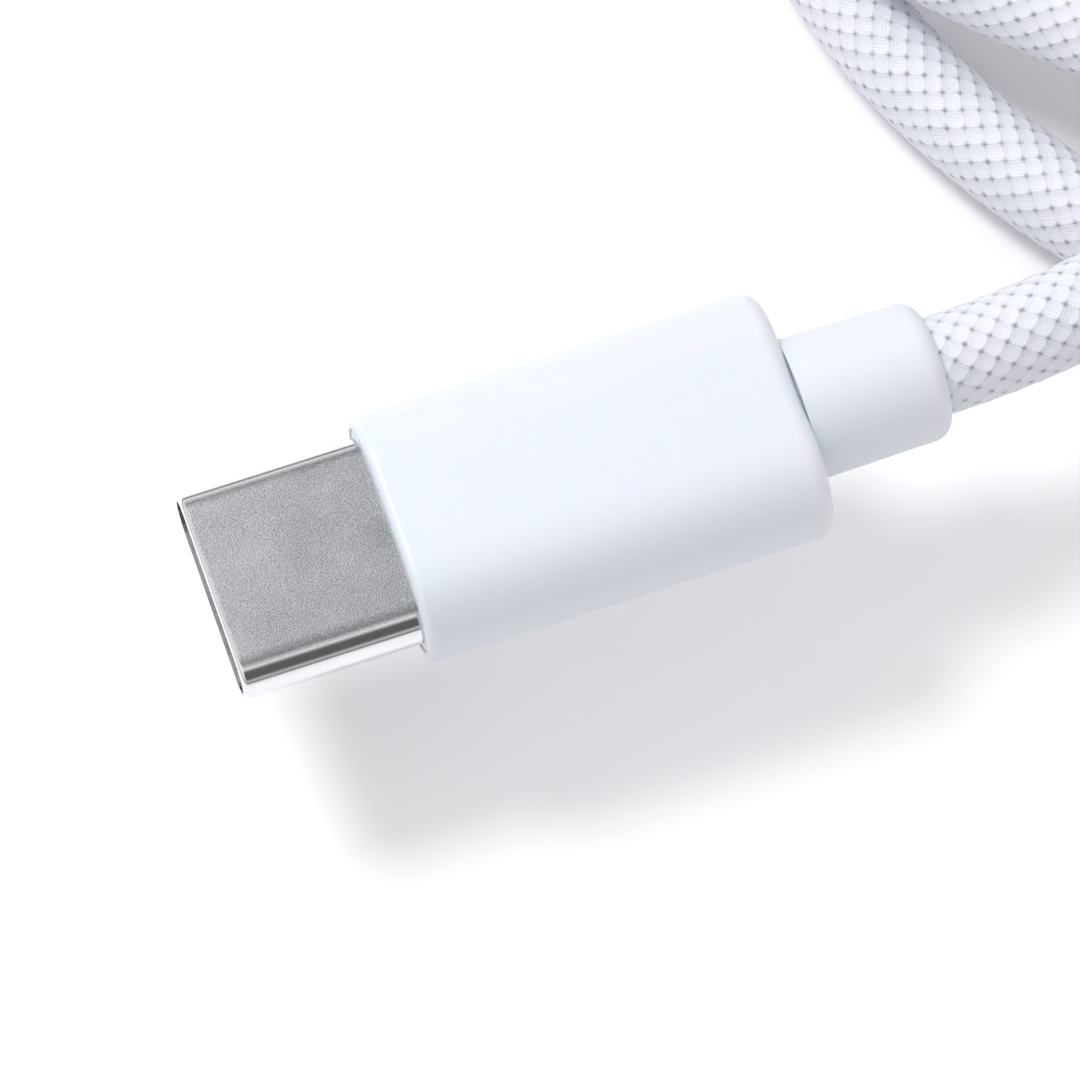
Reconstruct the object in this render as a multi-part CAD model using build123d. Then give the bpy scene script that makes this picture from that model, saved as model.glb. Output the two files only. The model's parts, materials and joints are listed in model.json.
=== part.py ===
from build123d import *

import math
import os

# Charging cable, USB-C plug to USB-C plug, woven sleeve. Millimetres, +Z up.
# Plug frame and row frame: origin at the centre of the near plug's bounding
# box, +X from the plug's metal tip towards its cable, +Y across its width,
# +Z out of its flat top. The cord leaves the plug along +X, passes over the
# outermost turn of a loose coil and lands on the coil's top.

# ------------------------------------------------------------ plug sizes
SHELL_W = 8.25          # standard outer width of the metal shell
SHELL_H = 2.40          # standard outer height of the metal shell
SHELL_WALL = 0.25
SHELL_OUT = 6.80        # shell that stands out of the housing
SHELL_L = 12.40
SHELL_EDGE = 0.22       # rolled lip at the mouth

HOUSING_W = 9.70
HOUSING_H = 5.60
HOUSING_L = 15.70
HOUSING_WALL = 0.60
HOUSING_REAR_WALL = 1.20
FRONT_FILLET = 0.35
REAR_FILLET = 0.75

BEZEL_LIP = 0.40        # housing wall left around the front insert
BEZEL_T = 1.20
BEZEL_RECESS = 0.06

COLLAR_D = 5.40
COLLAR_TIP_D = 5.24
COLLAR_L = 5.40
COLLAR_FILLET = 0.80
NECK_D = 4.40
FLANGE_T = 1.00
FLANGE_W = 7.60

CORD_D = 3.70           # woven sleeve, outside
JACKET_D = 2.90         # cable jacket under the sleeve

# positions along the plug, from the tip of the shell
FRONT = SHELL_OUT
REAR = SHELL_OUT + HOUSING_L
PLUG_L = REAR + COLLAR_L
CAVITY_FRONT = FRONT + BEZEL_T
CAVITY_REAR = REAR - HOUSING_REAR_WALL

# ------------------------------------------------------ connector insides
INNER_W = SHELL_W - 2 * SHELL_WALL
INNER_H = SHELL_H - 2 * SHELL_WALL
CARRIER_FRONT = 0.50
CARRIER_REAR = 9.20
MOUTH_W = 6.90          # slot for the socket's tongue
MOUTH_H = 0.90
MOUTH_REAR = 6.00
PITCH = 0.50
CONTACT_W = 0.25
CONTACT_T = 0.15
GROOVE_W = 0.33
PAD_DIMPLES = (-1.9, -0.7, 0.7, 1.9)
UPPER_PINS = (1, 4, 5, 6, 7, 9, 12)
LOWER_PINS = (1, 4, 5, 9, 12)

BOARD_FRONT = 9.35
BOARD_REAR = 16.60
BOARD_W = 7.20
BOARD_T = 0.60

CAN_REAR = 18.60
CAN_W = 8.10
CAN_H = 3.40
CAN_WALL = 0.20
FERRULE_REAR = 20.20
FERRULE_D = 3.90
JACKET_FRONT = 17.90

LATCH_ROOT = 8.40       # where a side latch bends
LATCH_T = 0.30

# ---------------------------------------------------------------- the cord
FLOOR = -9.35           # the surface the coil lies on
R_CORD = CORD_D / 2

LEAD_POINTS = [
    (PLUG_L / 2, 0.0, 0.0),
    (17.65, 0.0, 0.0),
    (25.20, 1.4, 0.0),
    (36.60, 4.93, 0.0),
    (47.109, 2.938, 0.0),
]

BUNDLE_C = (50.4, 21.6)         # the inner turns, which lie together
BUNDLE_R = 18.95
BUNDLE_W = 8.20
BUNDLE_TOP = -1.95
WRAP_R = BUNDLE_R + 1.5 * CORD_D    # the two outer turns, where they lie around the bundle
WIDE_TURN_C = (41.0, 21.6)      # one of them is drawn out wide on the floor
WIDE_TURN_R = 24.5
WIDE_TURN_Z = FLOOR + R_CORD
LOOSE_TURN_C = (34.5, 27.3)     # the other is drawn out on top of it
LOOSE_TURN_R = 17.0
LOOSE_TURN_Z = WIDE_TURN_Z + CORD_D + 0.05
TOP_TURN_START = -100.0         # the lead lands here
TOP_TURN_END = 32.0             # the far end's cord leaves here
RIB_W = 1.50

TAIL_RUN = 5.6
TAIL_HEADINGS = (122.0, 142.0, 162.0, 182.0)
FAR_PLUG_Z = LOOSE_TURN_Z + R_CORD + HOUSING_H / 2 + 0.05

TIE_ANGLE = 72.0                # around the bundle's centre
TIE_W = 6.0
TIE_T = 0.70
TIE_LIFT = 0.10                 # the turns stand on the floor, not the tie
TIE_SLACK = 0.35                # around the tail, which passes under the tie
TAIL_IN_TIE = (19.95, 0.65)     # its distance from the bundle's centre, and its height

LENGTH_OVERALL = 1000.0         # tip to tip, the usual length of such a cable


def along(start, end, sketch):
    """A prism of a sketch drawn in the YZ plane, from x = start to x = end."""
    plane = Plane(origin=(start, 0, 0), x_dir=(0, 1, 0), z_dir=(1, 0, 0))
    return extrude(plane * sketch, amount=end - start)


def obround(width, height):
    return SlotOverall(width, height)


def round_bar(start, end, diameter):
    return along(start, end, Circle(diameter / 2))


def block(x0, x1, y0, y1, z0, z1):
    size = (x1 - x0, y1 - y0, z1 - z0)
    centre = ((x0 + x1) / 2, (y0 + y1) / 2, (z0 + z1) / 2)
    return Pos(*centre) * Box(*size)


def group(parts):
    """Separate solids that share one node."""
    return Compound([solid for part in parts for solid in part.solids()])


def edges_at(part, x):
    """Edges that lie wholly in the plane at x."""
    return [
        e for e in part.edges()
        if abs(e.bounding_box().min.X - x) < 1e-4
        and abs(e.bounding_box().max.X - x) < 1e-4
    ]


# ------------------------------------------------------------- outer parts
def make_shell():
    shell = along(0, SHELL_L, obround(SHELL_W, SHELL_H))
    shell = fillet(edges_at(shell, 0), SHELL_EDGE)
    return shell - along(-1, SHELL_L + 1, obround(INNER_W, INNER_H))


def make_housing():
    body = along(FRONT, REAR, obround(HOUSING_W, HOUSING_H))
    body = fillet(edges_at(body, REAR), REAR_FILLET)
    body = fillet(edges_at(body, FRONT), FRONT_FILLET)
    recess = obround(HOUSING_W - 2 * BEZEL_LIP, HOUSING_H - 2 * BEZEL_LIP)
    inside = obround(HOUSING_W - 2 * HOUSING_WALL, HOUSING_H - 2 * HOUSING_WALL)
    body -= along(FRONT - 1, CAVITY_FRONT, recess)
    body -= along(CAVITY_FRONT, CAVITY_REAR, inside)
    return body - round_bar(CAVITY_REAR - 1, REAR + 1, NECK_D)


def make_bezel():
    size = (HOUSING_W - 2 * BEZEL_LIP, HOUSING_H - 2 * BEZEL_LIP)
    bezel = along(FRONT + BEZEL_RECESS, CAVITY_FRONT, obround(*size))
    bezel = fillet(edges_at(bezel, FRONT + BEZEL_RECESS), 0.12)
    return bezel - along(FRONT - 1, CAVITY_FRONT + 1, obround(SHELL_W, SHELL_H))


def make_strain_relief():
    profile = Polyline(
        (REAR, 0), (REAR, COLLAR_D / 2), (PLUG_L, COLLAR_TIP_D / 2), (PLUG_L, 0), close=True
    )
    collar = revolve(Plane.XY * make_face(profile), Axis.X)
    collar = fillet(edges_at(collar, PLUG_L), COLLAR_FILLET)
    flange_h = HOUSING_H - 2 * HOUSING_WALL
    flange = along(CAVITY_REAR - FLANGE_T, CAVITY_REAR, obround(FLANGE_W, flange_h))
    relief = collar + round_bar(CAVITY_REAR, REAR, NECK_D) + flange
    return relief - round_bar(CAVITY_REAR - 2, PLUG_L + 1, CORD_D)


# ------------------------------------------------------- connector insides
def pin_y(pin):
    return (pin - 6.5) * PITCH


def contact_profile():
    """Side outline of one spring contact of the upper row, in X and Z; its foot is on the board."""
    foot = BOARD_T / 2
    outline = [
        (2.10, 0.60), (2.10, 0.52), (2.70, 0.34), (3.00, 0.34), (3.55, 0.50),
        (8.20, 0.50), (8.50, foot), (10.60, foot), (10.60, foot + CONTACT_T),
        (8.60, foot + CONTACT_T), (8.32, 0.65), (3.45, 0.65), (2.95, 0.50), (2.76, 0.50),
    ]
    return Polyline(*outline, close=True)


def make_contact(y, side):
    face = make_face(contact_profile())
    bar = extrude(Plane(origin=(0, y, 0), x_dir=(1, 0, 0), z_dir=(0, -1, 0)) * face,
                  amount=CONTACT_W / 2, both=True)
    return bar if side > 0 else mirror(bar, about=Plane.XY)


def make_contacts(pins, side):
    return group(make_contact(pin_y(pin), side) for pin in pins)


def make_carrier():
    carrier = along(CARRIER_FRONT, CARRIER_REAR, obround(INNER_W, INNER_H))
    half_w = MOUTH_W / 2
    half_h = MOUTH_H / 2
    carrier -= block(0, MOUTH_REAR, -half_w, half_w, -half_h, half_h)
    # pocket for the middle plate
    carrier -= block(6.20, CARRIER_REAR + 1, -2.9, 2.9, -0.10, 0.10)
    for side in (1, -1):
        pins = UPPER_PINS if side > 0 else LOWER_PINS
        for pin in pins:
            y0 = pin_y(pin) - GROOVE_W / 2
            y1 = pin_y(pin) + GROOVE_W / 2
            low, high = sorted((side * 0.30, side * 0.76))
            carrier -= block(1.90, 8.70, y0, y1, low, high)
            low, high = sorted((side * BOARD_T / 2, side * (BOARD_T / 2 + 2 * CONTACT_T)))
            carrier -= block(8.60, CARRIER_REAR + 1, y0, y1, low, high)
        # seat of the ground pad on the carrier's flat
        low, high = sorted((side * 0.83, side * 1.2))
        carrier -= block(0.80, 1.80, -2.6, 2.6, low, high)
        for y in PAD_DIMPLES:
            hole = Pos(1.30, y, side * 0.6) * Cylinder(0.24, 0.8)
            carrier -= hole
        # open side slot in which a latch can swing outwards
        low, high = sorted((side * 3.20, side * 4.2))
        carrier -= block(1.30, LATCH_ROOT + 0.6, low, high, -LATCH_T / 2 - 0.02, LATCH_T / 2 + 0.02)
    return carrier


def make_emi_pad(side):
    """Ground pad: a thin plate with small feet that reach into the mouth."""
    pad = block(0.85, 1.75, -2.55, 2.55, 0.83, INNER_H / 2)
    for y in PAD_DIMPLES:
        foot = Pos(1.30, y, 0.63) * Cylinder(0.20, 0.44)
        pad += foot
    return pad if side > 0 else mirror(pad, about=Plane.XY)


def make_mid_plate():
    return block(6.25, CARRIER_REAR + 0.1, -2.85, 2.85, -0.10, 0.10)


def make_latch(side):
    """Side latch: a spring arm with a hook that snaps into the tongue."""
    outline = [
        (LATCH_ROOT + 0.45, 3.22), (LATCH_ROOT + 0.45, 3.62), (2.60, 3.62), (1.90, 3.58),
        (1.70, 3.50), (2.15, 3.16), (2.45, 3.16), (2.85, 3.34), (7.30, 3.34), (7.60, 3.22),
    ]
    arm = extrude(make_face(Polyline(*outline, close=True)), amount=LATCH_T / 2, both=True)
    return arm if side > 0 else mirror(arm, about=Plane.XZ)


def make_board():
    half = BOARD_W / 2
    board = block(BOARD_FRONT, BOARD_REAR, -half, half, -BOARD_T / 2, BOARD_T / 2)
    for side in (1, -1):
        board -= Pos(BOARD_REAR, side * half, 0) * Box(1.6, 0.9, 2)
    return board


CHIP_X = 12.90
PASSIVES = ((12.2, 1.9), (13.3, 1.9), (12.2, -1.9), (13.3, -1.9))


def make_chip():
    z = BOARD_T / 2
    chip = block(CHIP_X - 0.8, CHIP_X + 0.8, -0.8, 0.8, z, z + 0.55)
    return chamfer(chip.faces().sort_by(Axis.Z)[-1].edges(), 0.06)


def make_passives():
    z = BOARD_T / 2
    return group(
        block(x - 0.3, x + 0.3, y - 0.5, y + 0.5, z, z + 0.45) for x, y in PASSIVES
    )


def make_can(side):
    """Half of the screening can: a tray open towards the other half."""
    can = along(SHELL_L, CAN_REAR, obround(CAN_W, CAN_H))
    inner = obround(CAN_W - 2 * CAN_WALL, CAN_H - 2 * CAN_WALL)
    can -= along(SHELL_L - 1, CAN_REAR - CAN_WALL, inner)
    rim = along(SHELL_L, SHELL_L + CAN_WALL, obround(CAN_W, CAN_H) - obround(INNER_W, INNER_H))
    can += rim
    can -= round_bar(CAN_REAR - 1, CAN_REAR + 1, JACKET_D)
    low, high = (0, CAN_H) if side > 0 else (-CAN_H, 0)
    return can & block(SHELL_L - 1, CAN_REAR + 1, -CAN_W, CAN_W, low, high)


def make_ferrule():
    ring = round_bar(CAN_REAR, FERRULE_REAR, FERRULE_D)
    ring = fillet(edges_at(ring, FERRULE_REAR), 0.15)
    return ring - round_bar(CAN_REAR - 1, FERRULE_REAR + 1, JACKET_D)


def make_inner_mould():
    """Filling moulded between the connector's insides and the housing."""
    size = (HOUSING_W - 2 * HOUSING_WALL, HOUSING_H - 2 * HOUSING_WALL)
    mould = along(CAVITY_FRONT, CAVITY_REAR - FLANGE_T, obround(*size))
    mould -= along(CAVITY_FRONT - 1, SHELL_L, obround(SHELL_W, SHELL_H))
    mould -= along(SHELL_L, CAN_REAR, obround(CAN_W, CAN_H))
    mould -= round_bar(CAN_REAR, FERRULE_REAR, FERRULE_D)
    return mould - round_bar(FERRULE_REAR, REAR, CORD_D)


def make_jacket():
    return round_bar(JACKET_FRONT, PLUG_L, JACKET_D)


def make_sleeve_end():
    """The woven sleeve where it runs through the strain relief."""
    return round_bar(FERRULE_REAR, PLUG_L, CORD_D) - round_bar(FERRULE_REAR - 1, PLUG_L + 1, JACKET_D)


# name: (diameter, y and z at the jacket, y on the board, side of the board)
WIRES = {
    "wire_vbus": (0.80, 0.75, 0.50, 2.30, 1),
    "wire_gnd": (0.80, -0.75, 0.50, -2.30, 1),
    "wire_cc": (0.50, 0.00, 0.95, 0.00, 1),
    "wire_dp": (0.50, 0.55, -0.75, 1.20, -1),
    "wire_dm": (0.50, -0.55, -0.75, -1.20, -1),
}
WIRE_END = 15.30


def wire_height(diameter, side):
    return side * (BOARD_T / 2 + diameter / 2)


def make_wire(diameter, y0, z0, y1, side):
    z1 = wire_height(diameter, side)
    route = FilletPolyline(
        (JACKET_FRONT, y0, z0), (17.45, y0, z0), (16.50, y1, z1), (WIRE_END, y1, z1),
        radius=diameter * 0.55,
    )
    start = Plane(origin=route @ 0, z_dir=route % 0)
    return sweep(start * Circle(diameter / 2), path=route)


def make_solder():
    """One joint around the end of each wire, on its pad."""
    joints = []
    for name, (diameter, y0, z0, y1, side) in WIRES.items():
        low, high = sorted((side * BOARD_T / 2, side * (BOARD_T / 2 + diameter * 0.75)))
        reach = diameter * 0.75
        joint = block(WIRE_END - 0.35, WIRE_END + 0.55, y1 - reach, y1 + reach, low, high)
        top = joint.faces().sort_by(Axis.Z)[-1 if side > 0 else 0]
        joint = chamfer(top.edges(), 0.12)
        joints.append(joint - make_wire(diameter, y0, z0, y1, side))
    return group(joints)


# ------------------------------------------------------------------ cords
def run_lengths(points):
    return [math.dist(a, b) for a, b in zip(points, points[1:])]


def bend_radii(points):
    """Largest arcs that leave a straight between any two of them."""
    radii = []
    runs = run_lengths(points)
    for i in range(1, len(points) - 1):
        a = Vector(*points[i]) - Vector(*points[i - 1])
        b = Vector(*points[i + 1]) - Vector(*points[i])
        half_turn = math.radians(a.get_angle(b)) / 2
        radii.append(0.45 * min(runs[i - 1], runs[i]) / math.tan(half_turn))
    return radii


def make_cord(name, points):
    radii = bend_radii(points)
    route = FilletPolyline(*points, radius=radii)
    start = Plane(origin=route @ 0, z_dir=route % 0)
    cord = sweep(start * Circle(R_CORD), path=route)
    section = math.pi * R_CORD ** 2
    print(name, "bend radii", [round(r, 1) for r in radii],
          "length", round(route.length, 2), "volume / (section x length)",
          round(cord.volume / (section * route.length), 4))
    return cord, route.length


def on_circle(centre, radius, degrees, z):
    angle = math.radians(degrees)
    return (centre[0] + radius * math.cos(angle), centre[1] + radius * math.sin(angle), z)


def tail_points():
    """From the coil's top turn to the far plug, in even runs."""
    heights = (0.0, 0.0, FAR_PLUG_Z / 2, FAR_PLUG_Z, FAR_PLUG_Z)
    points = [on_circle(BUNDLE_C, BUNDLE_R, TOP_TURN_END, heights[0])]
    for heading, z in zip(TAIL_HEADINGS, heights[1:]):
        angle = math.radians(heading)
        x, y, _ = points[-1]
        points.append((x + TAIL_RUN * math.cos(angle), y + TAIL_RUN * math.sin(angle), z))
    return points


def make_drawn_turn(centre, radius, z):
    """A turn that leaves the bundle on one side: two part rings joined by straight lengths."""
    away = Vector(*centre) - Vector(*BUNDLE_C)
    half_angle = math.degrees(math.acos((WRAP_R - radius) / away.length))
    run = away.length * math.sin(math.radians(half_angle))
    straight = extrude(Plane.YZ * Circle(R_CORD), run)
    turn = part_ring(WRAP_R, half_angle, 360 - half_angle)
    turn += Pos(away.length, 0, 0) * part_ring(radius, -half_angle, half_angle)
    for side in (1, -1):
        turn += Rot(0, 0, side * half_angle) * Pos(WRAP_R, 0, 0) * Rot(0, 0, -90 * side) * straight
    heading = math.degrees(math.atan2(away.Y, away.X))
    return Pos(*BUNDLE_C, z) * Rot(0, 0, heading) * turn


def part_ring(radius, start, end):
    section = Plane.XZ * (Pos(radius, 0) * Circle(R_CORD))
    return Rot(0, 0, start) * revolve(section, Axis.Z, end - start)


def make_coil(tie):
    """Outer shape of the put-away turns, as one closed solid."""
    height = BUNDLE_TOP - FLOOR
    section = Pos(BUNDLE_R, FLOOR + height / 2) * RectangleRounded(BUNDLE_W, height, R_CORD * 0.95)
    coil = Pos(*BUNDLE_C) * revolve(Plane.XZ * section, Axis.Z)
    coil += make_drawn_turn(WIDE_TURN_C, WIDE_TURN_R, WIDE_TURN_Z)
    coil += make_drawn_turn(LOOSE_TURN_C, LOOSE_TURN_R, LOOSE_TURN_Z)
    coil += Pos(*BUNDLE_C) * part_ring(BUNDLE_R, TOP_TURN_START, TOP_TURN_END)
    rib_section = Pos(BUNDLE_R, BUNDLE_TOP + 0.3) * Rectangle(RIB_W, 1.0)
    rib = revolve(Plane.XZ * rib_section, Axis.Z, TOP_TURN_END - TOP_TURN_START - 4)
    coil += Pos(*BUNDLE_C) * Rot(0, 0, TOP_TURN_START + 2) * rib
    return coil - tie


def tie_section(grow):
    """Belt around the turns, drawn in distance from the bundle's centre and height."""
    low = FLOOR + TIE_LIFT + TIE_T + R_CORD
    inner, outer = BUNDLE_R - CORD_D / 2 - 0.4, WRAP_R + 0.4
    spots = [(r, z) for r in (inner, outer) for z in (low, LOOSE_TURN_Z)]
    circles = [Pos(*spot) * Edge.make_circle(R_CORD + grow) for spot in spots]
    circles.append(Pos(*TAIL_IN_TIE) * Edge.make_circle(R_CORD + TIE_SLACK + grow))
    return make_hull(circles)


def make_tie():
    band = tie_section(TIE_T) - tie_section(0)
    spread = math.degrees(TIE_W / BUNDLE_R)
    strip = revolve(Plane.XZ * band, Axis.Z, spread)
    return Pos(*BUNDLE_C) * Rot(0, 0, TIE_ANGLE - spread / 2) * strip


# --------------------------------------------------------------- assembly
def plug_parts():
    """Every piece of one plug, with the shell's tip at x = 0."""
    parts = {
        "plug_shell": make_shell(),
        "housing": make_housing(),
        "front_bezel": make_bezel(),
        "strain_relief": make_strain_relief(),
        "contact_carrier": make_carrier(),
        "contacts_upper": make_contacts(UPPER_PINS, 1),
        "contacts_lower": make_contacts(LOWER_PINS, -1),
        "emi_pad_upper": make_emi_pad(1),
        "emi_pad_lower": make_emi_pad(-1),
        "mid_plate": make_mid_plate(),
        "latch_left": make_latch(1),
        "latch_right": make_latch(-1),
        "paddle_card": make_board(),
        "id_chip": make_chip(),
        "board_passives": make_passives(),
        "shield_can_upper": make_can(1),
        "shield_can_lower": make_can(-1),
        "crimp_ferrule": make_ferrule(),
        "inner_mould": make_inner_mould(),
        "cable_jacket": make_jacket(),
        "sleeve_end": make_sleeve_end(),
        "solder_joints": make_solder(),
    }
    for name, sizes in WIRES.items():
        parts[name] = make_wire(*sizes)
    return parts


FAR_NODES = (
    "plug_shell", "housing", "front_bezel", "strain_relief", "contact_carrier",
    "contacts_upper", "contacts_lower", "inner_mould", "sleeve_end", "cable_jacket",
)


def main():
    to_centre = Pos(-PLUG_L / 2, 0, 0)
    plug = plug_parts()
    nodes = {name: to_centre * part for name, part in plug.items()}

    tail = tail_points()
    mouth = tail[-1]
    heading = TAIL_HEADINGS[-1]
    turn = math.radians(heading)
    middle = (
        mouth[0] + PLUG_L / 2 * math.cos(turn), mouth[1] + PLUG_L / 2 * math.sin(turn), FAR_PLUG_Z
    )
    far = Pos(*middle) * Rot(0, 0, heading - 180)
    for name in FAR_NODES:
        nodes["far_" + name] = far * to_centre * plug[name]

    nodes["cord_lead"], lead_length = make_cord("lead", LEAD_POINTS)
    nodes["cord_tail"], tail_length = make_cord("tail", tail)
    nodes["coil_tie"] = make_tie()
    nodes["cable_coil"] = make_coil(nodes["coil_tie"])
    in_coil = LENGTH_OVERALL - 2 * PLUG_L - lead_length - tail_length
    print("cord put away in the coil", round(in_coil, 1), "mm; far plug middle", middle)

    os.makedirs("parts", exist_ok=True)
    for name, part in nodes.items():
        part.label = name
        export_step(part, f"parts/{name}.step")
    print(len(nodes), "nodes")


main()
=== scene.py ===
import json
import math

import bpy
import numpy as np
from mathutils import Matrix, Vector


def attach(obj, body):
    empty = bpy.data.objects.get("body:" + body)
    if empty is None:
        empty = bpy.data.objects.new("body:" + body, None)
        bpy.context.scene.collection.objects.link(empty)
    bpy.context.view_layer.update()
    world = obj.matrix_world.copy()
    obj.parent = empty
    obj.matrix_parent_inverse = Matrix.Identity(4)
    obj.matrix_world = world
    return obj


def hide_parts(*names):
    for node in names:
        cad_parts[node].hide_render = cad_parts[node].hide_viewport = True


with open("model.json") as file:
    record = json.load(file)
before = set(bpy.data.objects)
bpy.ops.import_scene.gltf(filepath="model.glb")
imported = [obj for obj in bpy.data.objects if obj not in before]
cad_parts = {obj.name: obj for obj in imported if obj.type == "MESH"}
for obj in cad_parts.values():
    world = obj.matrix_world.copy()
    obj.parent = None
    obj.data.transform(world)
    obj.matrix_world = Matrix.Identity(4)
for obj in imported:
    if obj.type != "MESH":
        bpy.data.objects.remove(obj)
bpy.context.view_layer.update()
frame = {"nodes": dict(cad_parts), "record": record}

MM = 0.001
scene = bpy.context.scene

# ------------------------------------------------------------------ camera
VIEW_AZIMUTH = math.radians(-19.549)
VIEW_ELEVATION = math.radians(68.274)
VIEW_DISTANCE = 300.13 * MM
VIEW_LENS = 274.6
AIM_RIGHT = -1.209 * MM      # from the frame's origin to the middle of the picture
AIM_UP = -2.146 * MM


def make_camera():
    sin_a, cos_a = math.sin(VIEW_AZIMUTH), math.cos(VIEW_AZIMUTH)
    sin_e, cos_e = math.sin(VIEW_ELEVATION), math.cos(VIEW_ELEVATION)
    back = Vector((sin_a * cos_e, -cos_a * cos_e, sin_e))
    right = Vector((cos_a, sin_a, 0))
    up = back.cross(right)
    place = back * VIEW_DISTANCE
    to_camera = (place - right * AIM_RIGHT - up * AIM_UP).normalized()
    side = Vector((0, 0, 1)).cross(to_camera).normalized()
    data = bpy.data.cameras.new("camera")
    data.lens = VIEW_LENS
    data.clip_start, data.clip_end = 0.02, 20
    camera = bpy.data.objects.new("camera", data)
    turn = Matrix((side, to_camera.cross(side), to_camera)).transposed()
    camera.matrix_world = Matrix.Translation(place) @ turn.to_4x4()
    scene.collection.objects.link(camera)
    scene.camera = camera


make_camera()

# -------------------------------------------------------------------- cord
CORD_D = 3.70 * MM
R_CORD = CORD_D / 2
FLOOR = -9.35 * MM

# the route's points where it isn't coiled, in millimetres: the lead, and the far end's tail
LEAD = [
    (13.95, 0, 0), (17.65, 0, 0), (25.20, 1.4, 0), (36.60, 4.93, 0), (47.109, 2.938, 0),
]
TAIL = [
    (66.471, 31.642, 0), (63.503, 36.391, 0), (59.09, 39.839, 0.475),
    (53.765, 41.569, 0.95), (48.168, 41.374, 0.95),
]

# the coil, in millimetres: how far round (degrees), then the centre, radius and height there.
# Each row is reached by a smooth change from the row above it.
TIED = (50.4, 21.6)
INNER, MIDDLE, OUTER = 17.1, 20.7, 24.3
LOW, HIGH = -7.5, -3.8
WIDE = (47.7, 25.7)             # the widest turn's arc beside the plug, and those that lead to it
WIDE_ABOVE = (38.3, 24.4)
WIDE_BELOW = (41.9, 20.45)
LOOSE = (33.8, 27.5)
COIL_STEP = 20
COIL = [
    (-100, TIED, 18.95, 0.0),
    # inner turn of the upper layer
    (-80, TIED, 18.4, 0.0), (-60, TIED, 17.8, -0.6), (-40, TIED, 16.9, -3.0),
    (-20, TIED, INNER, HIGH), (280, TIED, INNER, HIGH),
    # inner turn of the lower layer
    (300, TIED, INNER, -4.5), (320, TIED, INNER, -7.0), (340, TIED, INNER, LOW),
    (640, TIED, INNER, LOW),
    # middle turn of the lower layer
    (660, TIED, 19.9, LOW), (680, TIED, MIDDLE, LOW), (1000, TIED, MIDDLE, LOW),
    # outer turn, which lies on the floor and is drawn out wide
    (1020, TIED, 23.6, LOW), (1040, TIED, OUTER, LOW), (1160, TIED, OUTER, LOW),
    (1180, WIDE_ABOVE, 21.7, LOW), (1255, WIDE_ABOVE, 21.7, LOW),
    (1275, WIDE, 31.2, LOW), (1300, WIDE, 31.2, LOW),
    (1320, WIDE_BELOW, 23.35, LOW), (1335, WIDE_BELOW, 23.35, LOW), (1342, TIED, OUTER, LOW),
    # outer turn of the upper layer, drawn out on top of the wide one
    (1360, TIED, 24.7, LOW), (1380, TIED, 28.2, LOW), (1400, TIED, 28.3, -5.8),
    (1420, TIED, 26.0, -3.95), (1440, TIED, OUTER, HIGH), (1520, TIED, OUTER, HIGH),
    (1545, LOOSE, 17.0, HIGH), (1665, LOOSE, 17.0, HIGH), (1675, TIED, OUTER, HIGH),
    (1740, TIED, OUTER, HIGH),
    # middle turn of the upper layer, then up to the far end's tail
    (1760, TIED, 24.0, HIGH), (1780, TIED, 22.2, HIGH), (1800, TIED, MIDDLE, HIGH),
    (2080, TIED, MIDDLE, HIGH), (2100, TIED, 20.9, -3.5), (2120, TIED, 20.7, -2.2),
    (2140, TIED, 20.0, -0.8), (2160, TIED, 19.4, -0.2), (2180, TIED, 19.1, -0.05),
]
CHORD = math.cos(math.radians(COIL_STEP / 2))   # a spline runs inside its points by this


def coil_point(turned):
    """The control point of the coil's spline, this many degrees round."""
    for (a0, c0, r0, z0), (a1, c1, r1, z1) in zip(COIL, COIL[1:]):
        if a0 <= turned <= a1:
            share = (turned - a0) / (a1 - a0)
            share = share * share * (3 - 2 * share)
            break
    angle = math.radians(turned)
    radius = (r0 + (r1 - r0) * share) / CHORD
    x = c0[0] + (c1[0] - c0[0]) * share + radius * math.cos(angle)
    y = c0[1] + (c1[1] - c0[1]) * share + radius * math.sin(angle)
    return x, y, z0 + (z1 - z0) * share


def cord_points():
    turns = range(COIL[0][0] + COIL_STEP, COIL[-1][0] + 1, COIL_STEP)
    return [*LEAD, *(coil_point(t) for t in turns), *TAIL]


def make_route():
    """The cord's centreline: one open spline through lead, coil and tail."""
    data = bpy.data.curves.new("cord_route", "CURVE")
    data.dimensions = "3D"
    data.resolution_u = 14
    spline = data.splines.new("NURBS")
    points = cord_points()
    spline.points.add(len(points) - 1)
    for point, place in zip(spline.points, points):
        point.co = (*(c * MM for c in place), 1)
    spline.order_u = 3
    spline.use_endpoint_u = True
    curve = bpy.data.objects.new("cord_route", data)
    scene.collection.objects.link(curve)
    line = bpy.data.meshes.new_from_object(curve)
    route = np.array([v.co for v in line.vertices])
    bpy.data.objects.remove(curve)
    bpy.data.meshes.remove(line)
    return route


SIDES = 40


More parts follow.
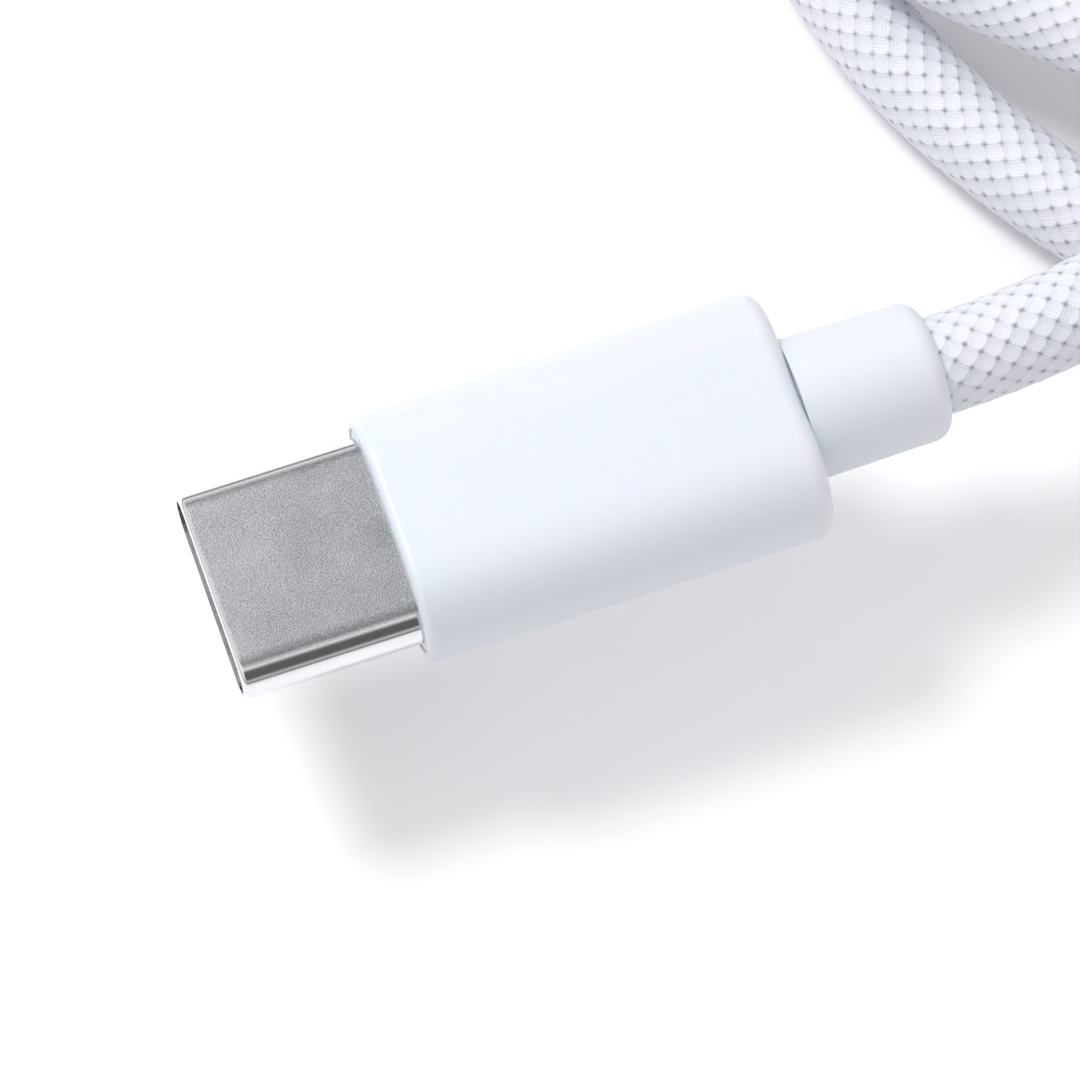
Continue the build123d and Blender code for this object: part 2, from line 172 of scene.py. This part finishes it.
def make_tube(name, route, radius):
    """A round tube along a centreline, with UVs in metres along it and in turns around it."""
    run = np.diff(route, axis=0)
    length = np.concatenate([[0], np.cumsum(np.linalg.norm(run, axis=1))])
    tangent = np.gradient(route, axis=0)
    tangent /= np.linalg.norm(tangent, axis=1)[:, None]
    normal = np.cross(tangent, (0, 0, 1))
    normal /= np.linalg.norm(normal, axis=1)[:, None]
    upward = np.cross(normal, tangent)
    around = np.arange(SIDES) / SIDES * 2 * math.pi
    ring = (np.cos(around)[None, :, None] * normal[:, None]
            + np.sin(around)[None, :, None] * upward[:, None])
    verts = (route[:, None] + radius * ring).reshape(-1, 3)
    faces, uvs = [], []
    for i in range(len(route) - 1):
        for j in range(SIDES):
            k = (j + 1) % SIDES
            faces.append((i * SIDES + j, i * SIDES + k, (i + 1) * SIDES + k, (i + 1) * SIDES + j))
            uvs += [(length[i], j / SIDES), (length[i], (j + 1) / SIDES),
                    (length[i + 1], (j + 1) / SIDES), (length[i + 1], j / SIDES)]
    mesh = bpy.data.meshes.new(name)
    mesh.from_pydata(verts.tolist(), [], faces)
    layer = mesh.uv_layers.new(name="around")
    layer.data.foreach_set("uv", np.array(uvs, np.float32).ravel())
    mesh.polygons.foreach_set("use_smooth", [True] * len(faces))
    tube = bpy.data.objects.new(name, mesh)
    scene.collection.objects.link(tube)
    return tube


route = make_route()
cord = make_tube("cord", route, R_CORD)
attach(cord, "cable")
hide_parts("cord_lead", "cable_coil", "cord_tail")


# ------------------------------------------------------------ node helpers
def new_material(name):
    material = bpy.data.materials.new(name)
    material.use_nodes = True
    return material, material.node_tree, material.node_tree.nodes["Principled BSDF"]


def connect(tree, socket, value):
    """Link an output to a socket, or set the socket to a constant."""
    if isinstance(value, bpy.types.NodeSocket):
        tree.links.new(value, socket)
    else:
        socket.default_value = value


def add(tree, kind, inputs=(), **settings):
    node = tree.nodes.new(kind)
    for name, value in settings.items():
        setattr(node, name, value)
    for name, value in dict(inputs).items():
        connect(tree, node.inputs[name], value)
    return node


def maths(tree, operation, *values):
    node = add(tree, "ShaderNodeMath", operation=operation)
    for socket, value in zip(node.inputs, values):
        connect(tree, socket, value)
    return node.outputs[0]


def remap(tree, value, low, high, to_low, to_high):
    """Map low..high to to_low..to_high, and hold the ends."""
    return add(tree, "ShaderNodeMapRange", {
        "Value": value, "From Min": low, "From Max": high, "To Min": to_low, "To Max": to_high,
    }).outputs[0]


def blend_colours(tree, share, first, second):
    node = add(tree, "ShaderNodeMix", data_type="RGBA")
    connect(tree, node.inputs[0], share)
    connect(tree, node.inputs[6], first)
    connect(tree, node.inputs[7], second)
    return node.outputs[2]


def blend_values(tree, share, first, second):
    return add(tree, "ShaderNodeMix", {"Factor": share, "A": first, "B": second},
               data_type="FLOAT").outputs[0]


def weigh(tree, first, second, share):
    """A weighted sum: share of the second, the rest of the first."""
    return maths(tree, "ADD", maths(tree, "MULTIPLY", first, 1 - share),
                 maths(tree, "MULTIPLY", second, share))


def noise(tree, place, size, detail=3.0):
    """Noise whose features are about size across."""
    node = add(tree, "ShaderNodeTexNoise", {"Vector": place, "Scale": 1 / size, "Detail": detail})
    return node.outputs[0]


def bump(tree, height, depth):
    return add(tree, "ShaderNodeBump", {"Height": height, "Distance": depth, "Strength": 1.0}).outputs[0]


def shade(colour, factor):
    return (*(min(c * factor, 1.0) for c in colour), 1.0)


# --------------------------------------------------------------- materials
GLOW_DEPTH = 1.2 * MM                   # how far light spreads inside white plastic
NOISE_LOW, NOISE_HIGH = 0.15, 0.85      # no noise texture used here leaves this range
CLOUD = 15                              # a surface's cloudiness, in sizes of its grain
CLOUD_SHARE = 0.6                       # of the colour's unevenness; the grain gives the rest


def surface(name, colour, roughness, grain, depth, tint=0.04, spread=0.05, metallic=0.0, sheen=0.0,
            glow=0.0):
    """A moulded, plated or painted surface: uneven in colour and gloss, with a fine grain."""
    material, tree, shader = new_material(name)
    place = add(tree, "ShaderNodeTexCoord").outputs["Object"]
    fine, broad = noise(tree, place, grain), noise(tree, place, grain * CLOUD)
    share = remap(tree, weigh(tree, fine, broad, CLOUD_SHARE), NOISE_LOW, NOISE_HIGH, 0, 1)
    connect(tree, shader.inputs["Base Color"],
            blend_colours(tree, share, shade(colour, 1 - tint), shade(colour, 1 + tint)))
    connect(tree, shader.inputs["Roughness"],
            remap(tree, broad, NOISE_LOW, NOISE_HIGH, roughness - spread, roughness + spread))
    connect(tree, shader.inputs["Normal"], bump(tree, fine, depth))
    shader.inputs["Metallic"].default_value = metallic
    shader.inputs["Sheen Weight"].default_value = sheen
    shader.inputs["Subsurface Weight"].default_value = glow
    shader.inputs["Subsurface Scale"].default_value = GLOW_DEPTH
    return material


FLAT_FACE_FROM, FLAT_FACE_TO = 0.90, 0.95     # how upright a face must be to be blasted
RAGGED, RAGGED_SIZE = 0.02, 0.10 * MM         # where the blasting ends
GRIT, GRIT_DEPTH = 0.055 * MM, 0.012 * MM
GRIT_TONES = 0.38, 0.62
SCUFF, SCUFF_SHARE = 1.6 * MM, 0.2
POLISHED_RELIEF = 0.04                        # of the blasted face's
MATT_COLOURS = (0.17, 0.173, 0.18, 1), (0.315, 0.32, 0.33, 1)
BRIGHT_COLOURS = (0.80, 0.81, 0.83, 1), (0.90, 0.91, 0.92, 1)
MATT_ROUGHNESS = 0.36, 0.50
BRIGHT_ROUGHNESS = 0.09, 0.16


def shell_metal(name):
    """Nickel plate: blasted on the two flat faces, polished where the tube is rolled."""
    material, tree, shader = new_material(name)
    coords = add(tree, "ShaderNodeTexCoord")
    place = coords.outputs["Object"]
    upright = add(tree, "ShaderNodeSeparateXYZ", {"Vector": coords.outputs["Normal"]}).outputs["Z"]
    upright = maths(tree, "ABSOLUTE", upright)
    ragged = maths(tree, "SUBTRACT", noise(tree, place, RAGGED_SIZE), 0.5)
    upright = maths(tree, "ADD", upright, maths(tree, "MULTIPLY", ragged, RAGGED))
    blasted = remap(tree, upright, FLAT_FACE_FROM, FLAT_FACE_TO, 0, 1)
    grit, scuffs = noise(tree, place, GRIT, 4.0), noise(tree, place, SCUFF)
    tone = remap(tree, weigh(tree, grit, scuffs, SCUFF_SHARE), *GRIT_TONES, 0, 1)
    matt = blend_colours(tree, tone, *MATT_COLOURS)
    bright = blend_colours(tree, scuffs, *BRIGHT_COLOURS)
    connect(tree, shader.inputs["Base Color"], blend_colours(tree, blasted, bright, matt))
    matt_gloss = remap(tree, grit, NOISE_LOW, NOISE_HIGH, *MATT_ROUGHNESS)
    bright_gloss = remap(tree, scuffs, NOISE_LOW, NOISE_HIGH, *BRIGHT_ROUGHNESS)
    connect(tree, shader.inputs["Roughness"], blend_values(tree, blasted, bright_gloss, matt_gloss))
    relief = maths(tree, "ADD", maths(tree, "MULTIPLY", blasted, 1 - POLISHED_RELIEF), POLISHED_RELIEF)
    connect(tree, shader.inputs["Normal"], bump(tree, maths(tree, "MULTIPLY", grit, relief), GRIT_DEPTH))
    shader.inputs["Metallic"].default_value = 1.0
    return material


BRAID_STEP = 1.0 * MM       # along the cord, from one crossing to the next in line
BRAID_AROUND = 13           # yarns in each of the two directions
YARN_CROWN = 0.55           # how round a yarn is, against how far it dips under the next
YARN_DIP = 0.50
THREADS = 5                 # across a yarn
THREAD_RIB = 0.45           # how far the threads show, against their noise
THREAD_STRETCH = 0.7        # of the noise along a yarn
THREAD_RELIEF = 0.12        # against a yarn's own height
YARN_HEIGHT = 0.10 * MM
WANDER, WANDER_SIZE = 0.30, 1.5 * MM    # how unevenly the yarns lie, in crossings
GAP_CORE, GAP_EDGE = 0.04, 0.18         # a gap's radius, in crossings
GAP_CLOSED, GAP_PATCH = 0.10, 1.1 * MM  # some gaps are nearly shut
GAP_DEPTH = 0.6
# painted shade: the yarn heights over which the creases between yarns are painted greyer
CREASE_SHADE_LOW, CREASE_SHADE_HIGH = 0.05, 0.55
# painted shade: dark grey for the braid's gaps, lighter grey for its creases
GAP_SHADE_COLOUR, CREASE_SHADE_COLOUR = (0.30, 0.31, 0.34, 1), (0.46, 0.48, 0.53, 1)
# partly painted shade: darker in the grooves between a yarn's threads; the fibre noise gives uneven tone
THREAD_SHADE_AND_TONE_COLOURS = (0.64, 0.66, 0.71, 1), (0.80, 0.815, 0.86, 1)
TINT_COLOUR, TINT_SIZE = (0.79, 0.79, 0.86, 1), 2.5 * MM


def yarn_height(tree, across, along, sign):
    """Height of one direction's yarns, from how far across and along them a point is."""
    middle = maths(tree, "SUBTRACT", maths(tree, "FRACT", across), 0.5)
    fall = maths(tree, "MULTIPLY", maths(tree, "POWER", middle, 2.0), 4.0)
    crown = maths(tree, "MULTIPLY", maths(tree, "SUBTRACT", 1.0, fall), YARN_CROWN)
    # over one, under one: the yarns beside each other alternate
    odd = maths(tree, "FLOORED_MODULO", maths(tree, "FLOOR", across), 2.0)
    turn = maths(tree, "SUBTRACT", 1.0, maths(tree, "MULTIPLY", odd, 2.0))
    wave = maths(tree, "MULTIPLY", turn, maths(tree, "SINE", maths(tree, "MULTIPLY", along, math.pi)))
    return maths(tree, "ADD", crown, maths(tree, "MULTIPLY", wave, sign * YARN_DIP))


def yarn_threads(tree, across, along):
    """The spun threads of one direction's yarns: ribs along them, and uneven fibre."""
    stretched = add(tree, "ShaderNodeCombineXYZ", {
        "X": maths(tree, "MULTIPLY", across, THREADS),
        "Y": maths(tree, "MULTIPLY", along, THREAD_STRETCH),
    }).outputs[0]
    rib = maths(tree, "ABSOLUTE", maths(tree, "SINE", maths(tree, "MULTIPLY", across, math.pi * THREADS)))
    return maths(tree, "ADD", maths(tree, "MULTIPLY", rib, THREAD_RIB), noise(tree, stretched, 0.8))


def near_whole(tree, value):
    """How far a value is from the nearest whole number."""
    return maths(tree, "ABSOLUTE", maths(tree, "SUBTRACT", value, maths(tree, "ROUND", value)))


def braid(name):
    """A sleeve braided from flat yarns, with painted shade in the gap where four of them meet."""
    material, tree, shader = new_material(name)
    around = add(tree, "ShaderNodeUVMap", uv_map="around").outputs[0]
    uv = add(tree, "ShaderNodeSeparateXYZ", {"Vector": around})
    place = add(tree, "ShaderNodeTexCoord").outputs["Object"]
    uneven = maths(tree, "SUBTRACT", noise(tree, place, WANDER_SIZE), 0.5)
    along = maths(tree, "ADD", maths(tree, "DIVIDE", uv.outputs["X"], BRAID_STEP),
                  maths(tree, "MULTIPLY", uneven, WANDER))
    across = maths(tree, "MULTIPLY", uv.outputs["Y"], BRAID_AROUND)
    # the two directions' own axes, whole numbers at the edges of their yarns
    a, b = maths(tree, "ADD", along, across), maths(tree, "SUBTRACT", along, across)
    first, second = yarn_height(tree, a, b, 1.0), yarn_height(tree, b, a, -1.0)
    top = maths(tree, "MAXIMUM", first, second)
    first_over = maths(tree, "GREATER_THAN", first, second)
    spun = blend_values(tree, first_over, yarn_threads(tree, b, a), yarn_threads(tree, a, b))

    gap = maths(tree, "SQRT", maths(tree, "ADD", maths(tree, "POWER", near_whole(tree, a), 2.0),
                                    maths(tree, "POWER", near_whole(tree, b), 2.0)))
    patchy = remap(tree, noise(tree, place, GAP_PATCH), 0.35, 0.65, 0.0, GAP_CLOSED)
    closed = remap(tree, maths(tree, "ADD", gap, patchy), GAP_CORE, GAP_EDGE, 0.0, 1.0)
    # painted shade: the yarns are greyer where they dip into the creases under each other
    crease_shade = remap(tree, top, CREASE_SHADE_LOW, CREASE_SHADE_HIGH, 0.0, 1.0)

    # painted shade in the grooves between threads, with uneven fibre tone
    yarn = blend_colours(tree, remap(tree, spun, 0.4, 1.1, 0, 1), *THREAD_SHADE_AND_TONE_COLOURS)
    yarn = blend_colours(tree, noise(tree, place, TINT_SIZE), yarn, TINT_COLOUR)
    shaded = blend_colours(tree, crease_shade, CREASE_SHADE_COLOUR, yarn)
    # painted shade: the gaps where four yarns meet are coloured dark for the shade in them
    connect(tree, shader.inputs["Base Color"], blend_colours(tree, closed, GAP_SHADE_COLOUR, shaded))
    connect(tree, shader.inputs["Roughness"], remap(tree, spun, 0.3, 1.2, 0.72, 0.52))
    height = maths(tree, "ADD", top, maths(tree, "MULTIPLY", spun, THREAD_RELIEF))
    sunk = maths(tree, "ADD", maths(tree, "MULTIPLY", closed, GAP_DEPTH), 1 - GAP_DEPTH)
    connect(tree, shader.inputs["Normal"], bump(tree, maths(tree, "MULTIPLY", height, sunk), YARN_HEIGHT))
    shader.inputs["Sheen Weight"].default_value = 0.15
    shader.inputs["Sheen Roughness"].default_value = 0.4
    return material


STRAP_RIB = 0.32 * MM
STRAP_FIBRE = 0.1 * MM
# painted shade in the grooves between ribs, and the colour of their crests
STRAP_SHADE_AND_TONE_COLOURS = (0.50, 0.52, 0.56, 1), (0.84, 0.85, 0.88, 1)


def strap(name):
    """A soft woven strap: fine ribs along it and across it, with painted shade in the grooves between
    them and an uneven fibre tone.
    """
    material, tree, shader = new_material(name)
    place = add(tree, "ShaderNodeTexCoord").outputs["Object"]
    axes = add(tree, "ShaderNodeSeparateXYZ", {"Vector": place})
    pitch = math.pi / STRAP_RIB
    ribs = [maths(tree, "ABSOLUTE", maths(tree, "SINE", maths(tree, "MULTIPLY", axes.outputs[k], pitch)))
            for k in ("X", "Z")]
    fibre = maths(tree, "MULTIPLY", noise(tree, place, STRAP_FIBRE), 0.5)
    weave = maths(tree, "ADD", maths(tree, "MULTIPLY", *ribs), fibre)
    # painted shade: darker in the grooves between the ribs; the fibre noise adds uneven tone
    tone = remap(tree, weave, 0.2, 1.1, 0, 1)
    connect(tree, shader.inputs["Base Color"], blend_colours(tree, tone, *STRAP_SHADE_AND_TONE_COLOURS))
    connect(tree, shader.inputs["Roughness"], remap(tree, weave, 0.2, 1.1, 0.95, 0.75))
    connect(tree, shader.inputs["Normal"], bump(tree, weave, 0.05 * MM))
    shader.inputs["Sheen Weight"].default_value = 0.3
    return material


# colour, roughness, then the grain's size and depth in millimetres, and how uneven the colour is
FINISHES = {
    "insulator": ((0.03, 0.03, 0.033), 0.5, 0.05, 0.003, 0.2),
    "board": ((0.02, 0.15, 0.07), 0.35, 0.12, 0.004, 0.15),
    "chip": ((0.02, 0.02, 0.022), 0.55, 0.04, 0.003, 0.2),
    "ceramic": ((0.42, 0.32, 0.2), 0.4, 0.06, 0.003, 0.1),
    "mould": ((0.68, 0.68, 0.64), 0.5, 0.3, 0.01, 0.05),
    "jacket": ((0.70, 0.70, 0.70), 0.55, 0.15, 0.006, 0.04),
    "wire_red": ((0.50, 0.02, 0.02), 0.42, 0.15, 0.004, 0.08),
    "wire_black": ((0.02, 0.02, 0.02), 0.42, 0.15, 0.004, 0.15),
    "wire_blue": ((0.03, 0.07, 0.36), 0.42, 0.15, 0.004, 0.08),
    "wire_green": ((0.03, 0.26, 0.07), 0.42, 0.15, 0.004, 0.08),
    "wire_white": ((0.78, 0.78, 0.78), 0.42, 0.15, 0.004, 0.04),
}
METALS = {
    "contact_gold": ((0.85, 0.62, 0.24), 0.24, 0.04, 0.002, 0.06),
    "spring_steel": ((0.62, 0.62, 0.63), 0.28, 0.05, 0.002, 0.08),
    "can_steel": ((0.66, 0.66, 0.67), 0.34, 0.3, 0.006, 0.06),
    "ferrule": ((0.70, 0.70, 0.71), 0.38, 0.2, 0.006, 0.06),
    "solder": ((0.75, 0.75, 0.76), 0.2, 0.2, 0.01, 0.05),
}
WHITE = (0.735, 0.76, 0.815)
SLEEVE_END = (0.72, 0.74, 0.79)


def plain(name, colour, roughness, grain, depth, tint, **more):
    return surface(name, colour, roughness, grain * MM, depth * MM, tint, **more)


MATERIALS = {
    "shell_steel": shell_metal("shell_steel"),
    "white_plastic": plain("white_plastic", WHITE, 0.30, 0.25, 0.0006, 0.006, spread=0.03, glow=0.35),
    "collar_plastic": plain("collar_plastic", WHITE, 0.40, 0.2, 0.0008, 0.008, spread=0.04, glow=0.35),
    "woven_sleeve": plain("woven_sleeve_end", SLEEVE_END, 0.65, 0.25, 0.05, 0.12, sheen=0.2),
    "tie": strap("tie"),
    **{name: plain(name, *finish) for name, finish in FINISHES.items()},
    **{name: plain(name, *finish, metallic=1.0) for name, finish in METALS.items()},
}

SHARP_EDGE = math.radians(32)
JOINED_WITHIN = 0.0005 * MM


def smooth_group():
    """Joins a mesh's faces and shades them smooth; its sharp edges are split afterwards."""
    tree = bpy.data.node_groups.new("shade_smooth", "GeometryNodeTree")
    tree.interface.new_socket("Geometry", in_out="INPUT", socket_type="NodeSocketGeometry")
    tree.interface.new_socket("Geometry", in_out="OUTPUT", socket_type="NodeSocketGeometry")
    start, end = tree.nodes.new("NodeGroupInput"), tree.nodes.new("NodeGroupOutput")
    merge = add(tree, "GeometryNodeMergeByDistance",
                {"Geometry": start.outputs[0], "Distance": JOINED_WITHIN})
    smooth = add(tree, "GeometryNodeSetShadeSmooth", {"Geometry": merge.outputs[0]})
    tree.links.new(smooth.outputs[0], end.inputs[0])
    return tree


shade_smooth = smooth_group()
for subpart in frame["record"]["subparts"]:
    piece = frame["nodes"][subpart["node"]]
    for material_slot in piece.material_slots:
        material_slot.material = MATERIALS[subpart["material_slot"]]
    smoother = piece.modifiers.new("shade_smooth", "NODES")
    smoother.node_group = shade_smooth
    splitter = piece.modifiers.new("sharp_edges", "EDGE_SPLIT")
    splitter.split_angle = SHARP_EDGE
cord.data.materials.append(braid("woven_sleeve"))

# ------------------------------------------------------- floor, light, air
FLOOR_HALF = 2.0
floor_mesh = bpy.data.meshes.new("floor")
corners = ((-1, -1), (1, -1), (1, 1), (-1, 1))
floor_mesh.from_pydata([(x * FLOOR_HALF, y * FLOOR_HALF, FLOOR) for x, y in corners], [], [range(4)])
floor = bpy.data.objects.new("floor", floor_mesh)
floor_mesh.materials.append(surface("floor", (0.95, 0.95, 0.955), 0.6, 2 * MM, 0.002 * MM, 0.01))
scene.collection.objects.link(floor)

KEY_TOWARDS = Vector((-0.3037, 0.4345, 0.848)).normalized()
KEY_DISTANCE = 0.70
KEY_SIZE = 0.20
KEY_POWER = 2.1
key_data = bpy.data.lights.new("key", "AREA")
key_data.shape, key_data.size, key_data.energy = "DISK", KEY_SIZE, KEY_POWER
key = bpy.data.objects.new("key", key_data)
key.matrix_world = (Matrix.Translation(KEY_TOWARDS * KEY_DISTANCE)
                    @ KEY_TOWARDS.to_track_quat("Z", "Y").to_matrix().to_4x4())
scene.collection.objects.link(key)

# a white room overhead, and darker walls for the polished edges to reflect
AIR_STRENGTH = 0.93
AIR_COLOUR = (0.99, 0.99, 1, 1)
WALL_TOP, CEILING = 0.10, 0.28          # heights on the sky, 0 at the horizon and 1 overhead
WALL_TONE = 0.25
CARD_TOWARDS = (-0.05, -0.84, 0.54)     # a dark card that the near rolled edge reflects
CARD_EDGE, CARD_CORE, CARD_TONE = 0.90, 0.97, 0.12
world = bpy.data.worlds.new("studio")
world.use_nodes = True
air = world.node_tree
direction = add(air, "ShaderNodeTexCoord").outputs["Generated"]
up = add(air, "ShaderNodeSeparateXYZ", {"Vector": direction}).outputs["Z"]
tone = remap(air, up, WALL_TOP, CEILING, WALL_TONE, 1.0)
facing = add(air, "ShaderNodeVectorMath", {0: direction, 1: CARD_TOWARDS},
             operation="DOT_PRODUCT").outputs["Value"]
tone = maths(air, "MINIMUM", tone, remap(air, facing, CARD_EDGE, CARD_CORE, 1.0, CARD_TONE))
background = air.nodes["Background"]
connect(air, background.inputs["Color"], blend_colours(air, tone, (0, 0, 0, 1), AIR_COLOUR))
background.inputs["Strength"].default_value = AIR_STRENGTH
scene.world = world
scene.view_settings.view_transform = "Standard"
